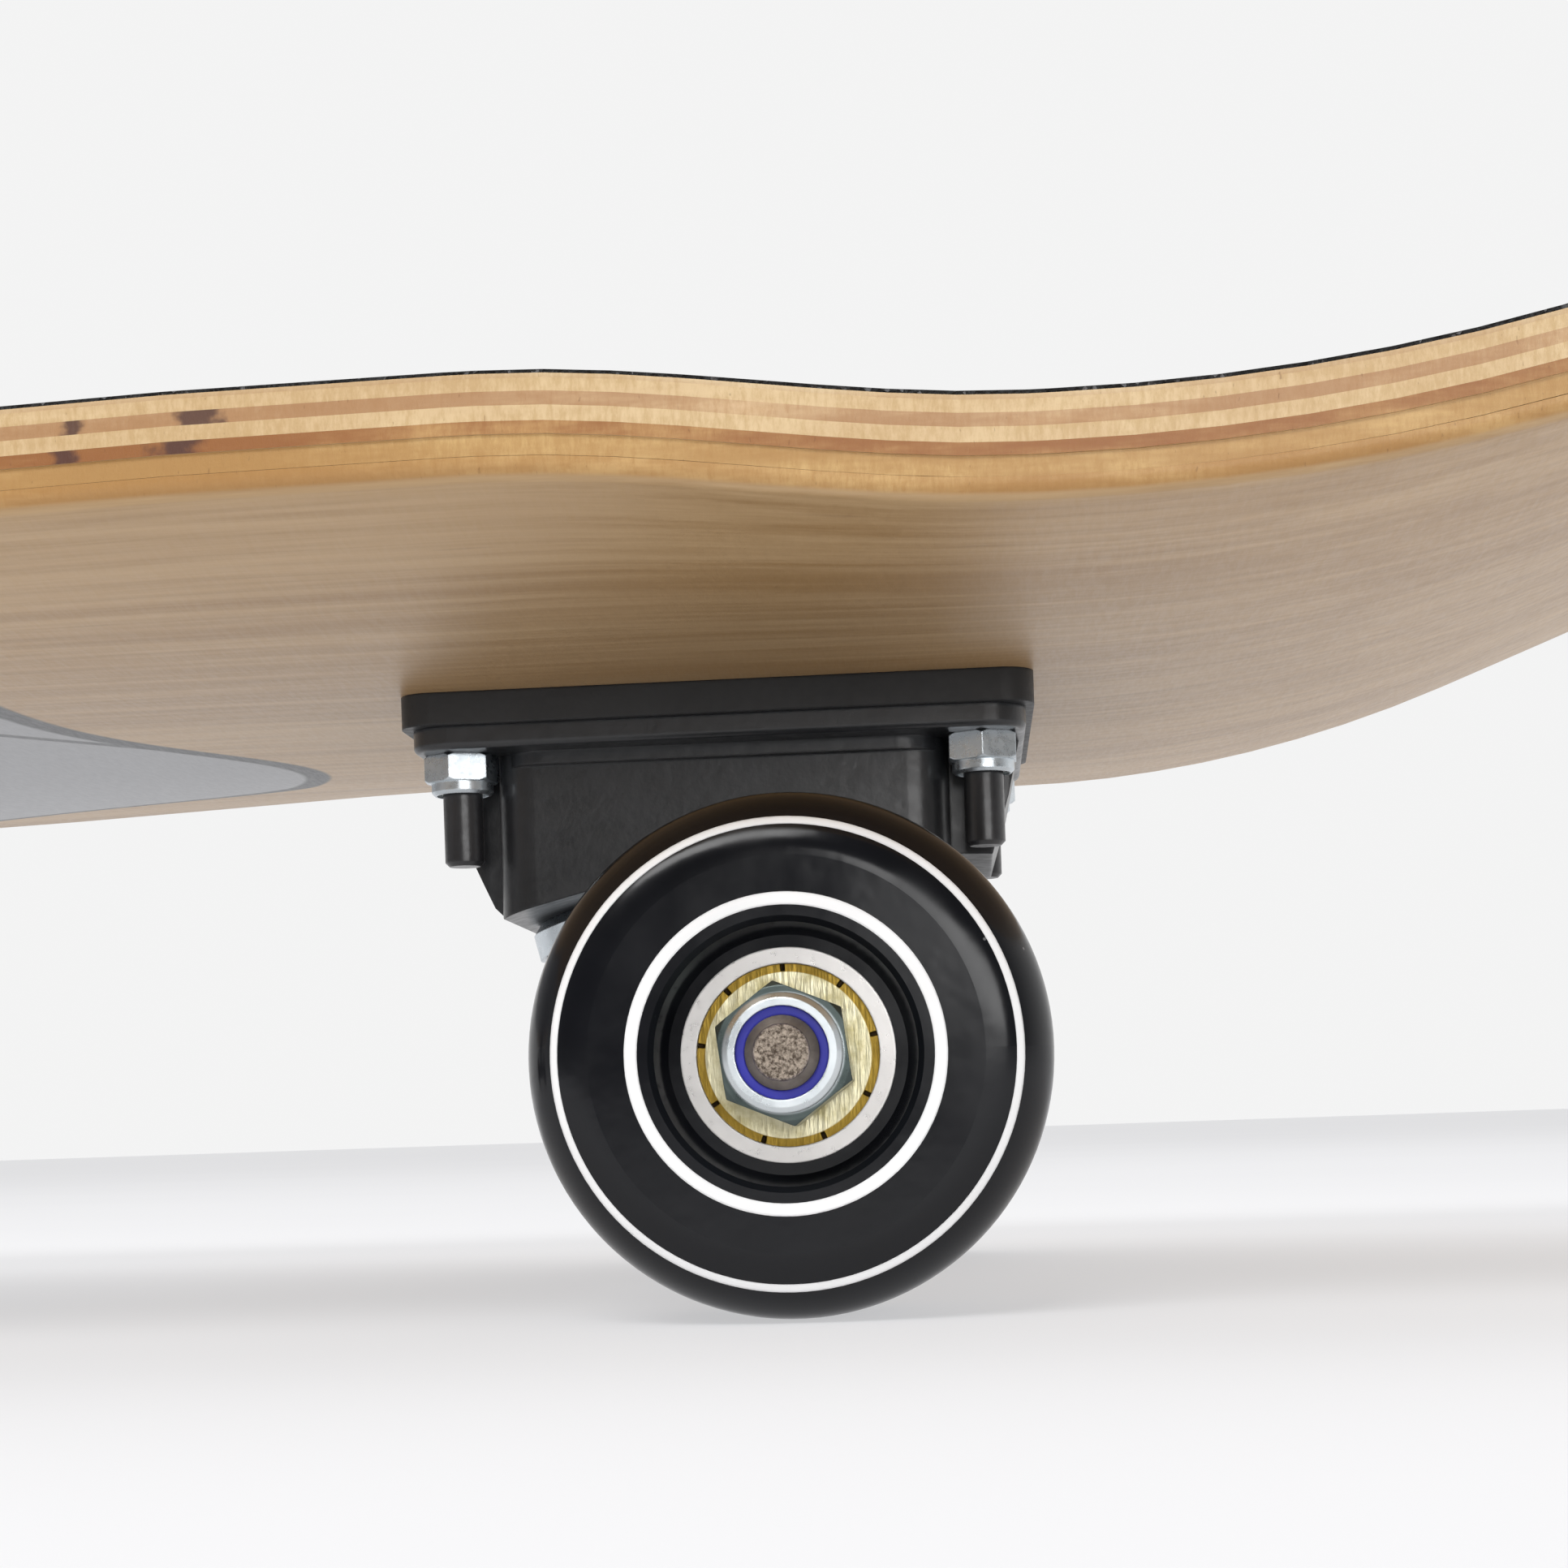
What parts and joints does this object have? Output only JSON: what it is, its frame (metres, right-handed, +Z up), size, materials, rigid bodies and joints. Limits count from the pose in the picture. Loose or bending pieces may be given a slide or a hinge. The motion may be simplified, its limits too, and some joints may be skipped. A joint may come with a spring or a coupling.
{
  "type": "skateboard",
  "caption": "Popsicle skateboard with a laminated maple deck, kicked ends, grip tape, sprung steering trucks and urethane wheels on ball bearings.",
  "frame": {"origin": "bottom centre: on the floor under the middle of the deck", "axes": "+X along the board to the front, +Y to the left, +Z up"},
  "size_m": [0.79, 0.2032, 0.1246],
  "materials": {
    "maple_face": "satin lacquer",
    "maple_golden": "satin lacquer",
    "maple_orange": "satin lacquer",
    "maple_cream": "satin lacquer",
    "maple_tan": "satin lacquer",
    "grip": "gritty",
    "riser": "satin",
    "truck_paint": "painted, satin",
    "black_steel": "black oxide",
    "zinc": "bright zinc plate",
    "axle_steel": "sawn end, oiled",
    "bearing_steel": "ground",
    "gold_shield": "yellow zinc",
    "nylon_natural": "satin",
    "nylon_blue": "satin",
    "black_urethane": "satin",
    "wheel_urethane": "glossy"
  },
  "bodies": {
    "deck": {"deck_ply_1": "maple_face", "deck_ply_2": "maple_golden", "deck_ply_3": "maple_orange", "deck_ply_4": "maple_cream", "deck_ply_5": "maple_tan", "deck_ply_6": "maple_cream", "deck_ply_7": "maple_face", "grip_tape": "grip", "mounting_bolts": "black_steel", "mounting_nuts": "zinc", "mounting_nut_inserts": "nylon_natural", "kingpin_nut_inserts": "nylon_blue", "front_riser_pad": "riser", "front_baseplate": "truck_paint", "front_pivot_cup": "black_urethane", "front_kingpin": "zinc", "front_kingpin_nut": "zinc", "front_boardside_bushing": "black_urethane", "front_roadside_bushing": "black_urethane", "front_bushing_washers": "zinc", "rear_riser_pad": "riser", "rear_baseplate": "truck_paint", "rear_pivot_cup": "black_urethane", "rear_kingpin": "zinc", "rear_kingpin_nut": "zinc", "rear_boardside_bushing": "black_urethane", "rear_roadside_bushing": "black_urethane", "rear_bushing_washers": "zinc"},
    "front_hanger": {"front_hanger": "truck_paint", "front_axle": "axle_steel", "front_axle_nuts": "zinc", "front_axle_nut_inserts": "nylon_blue", "front_speed_washers": "zinc", "front_bearing_spacers": "zinc", "front_bearing_inner_rings": "bearing_steel"},
    "front_left_wheel": {"front_left_wheel": "wheel_urethane", "front_left_bearing_outer_rings": "bearing_steel", "front_left_bearing_shields": "gold_shield"},
    "front_left_cages": {"front_left_ball_cages": "bearing_steel"},
    "front_right_wheel": {"front_right_wheel": "wheel_urethane", "front_right_bearing_outer_rings": "bearing_steel", "front_right_bearing_shields": "gold_shield"},
    "front_right_cages": {"front_right_ball_cages": "bearing_steel"},
    "rear_hanger": {"rear_hanger": "truck_paint", "rear_axle": "axle_steel", "rear_axle_nuts": "zinc", "rear_axle_nut_inserts": "nylon_blue", "rear_speed_washers": "zinc", "rear_bearing_spacers": "zinc", "rear_bearing_inner_rings": "bearing_steel"},
    "rear_left_wheel": {"rear_left_wheel": "wheel_urethane", "rear_left_bearing_outer_rings": "bearing_steel", "rear_left_bearing_shields": "gold_shield"},
    "rear_left_cages": {"rear_left_ball_cages": "bearing_steel"},
    "rear_right_wheel": {"rear_right_wheel": "wheel_urethane", "rear_right_bearing_outer_rings": "bearing_steel", "rear_right_bearing_shields": "gold_shield"},
    "rear_right_cages": {"rear_right_ball_cages": "bearing_steel"}
  },
  "joints": [
    {"name": "front_steer", "type": "hinge", "parent": "deck", "child": "front_hanger", "pos_m": [0.20124, 0, 0.02979], "axis": [0.8988, 0, 0.4384], "range_deg": [-8, 8], "stiffness_Nm_per_rad": 60},
    {"name": "front_left_wheel_spin", "type": "hinge", "parent": "front_hanger", "child": "front_left_wheel", "pos_m": [0.2236, 0.0605, 0.027], "axis": [0, 1, 0], "continuous": true},
    {"name": "front_left_cage_spin", "type": "hinge", "parent": "front_hanger", "child": "front_left_cages", "pos_m": [0.2236, 0.0605, 0.027], "axis": [0, 1, 0], "continuous": true},
    {"name": "front_right_wheel_spin", "type": "hinge", "parent": "front_hanger", "child": "front_right_wheel", "pos_m": [0.2236, -0.0605, 0.027], "axis": [0, 1, 0], "continuous": true},
    {"name": "front_right_cage_spin", "type": "hinge", "parent": "front_hanger", "child": "front_right_cages", "pos_m": [0.2236, -0.0605, 0.027], "axis": [0, 1, 0], "continuous": true},
    {"name": "rear_steer", "type": "hinge", "parent": "deck", "child": "rear_hanger", "pos_m": [-0.20124, 0, 0.02979], "axis": [-0.8988, 0, 0.4384], "range_deg": [-8, 8], "stiffness_Nm_per_rad": 60},
    {"name": "rear_left_wheel_spin", "type": "hinge", "parent": "rear_hanger", "child": "rear_left_wheel", "pos_m": [-0.2236, 0.0605, 0.027], "axis": [0, 1, 0], "continuous": true},
    {"name": "rear_left_cage_spin", "type": "hinge", "parent": "rear_hanger", "child": "rear_left_cages", "pos_m": [-0.2236, 0.0605, 0.027], "axis": [0, 1, 0], "continuous": true},
    {"name": "rear_right_wheel_spin", "type": "hinge", "parent": "rear_hanger", "child": "rear_right_wheel", "pos_m": [-0.2236, -0.0605, 0.027], "axis": [0, 1, 0], "continuous": true},
    {"name": "rear_right_cage_spin", "type": "hinge", "parent": "rear_hanger", "child": "rear_right_cages", "pos_m": [-0.2236, -0.0605, 0.027], "axis": [0, 1, 0], "continuous": true}
  ],
  "couplings": [
    {"joint": "front_left_cage_spin", "follows": "front_left_wheel_spin", "ratio": 0.632},
    {"joint": "front_right_cage_spin", "follows": "front_right_wheel_spin", "ratio": 0.632},
    {"joint": "rear_left_cage_spin", "follows": "rear_left_wheel_spin", "ratio": 0.632},
    {"joint": "rear_right_cage_spin", "follows": "rear_right_wheel_spin", "ratio": 0.632}
  ]
}
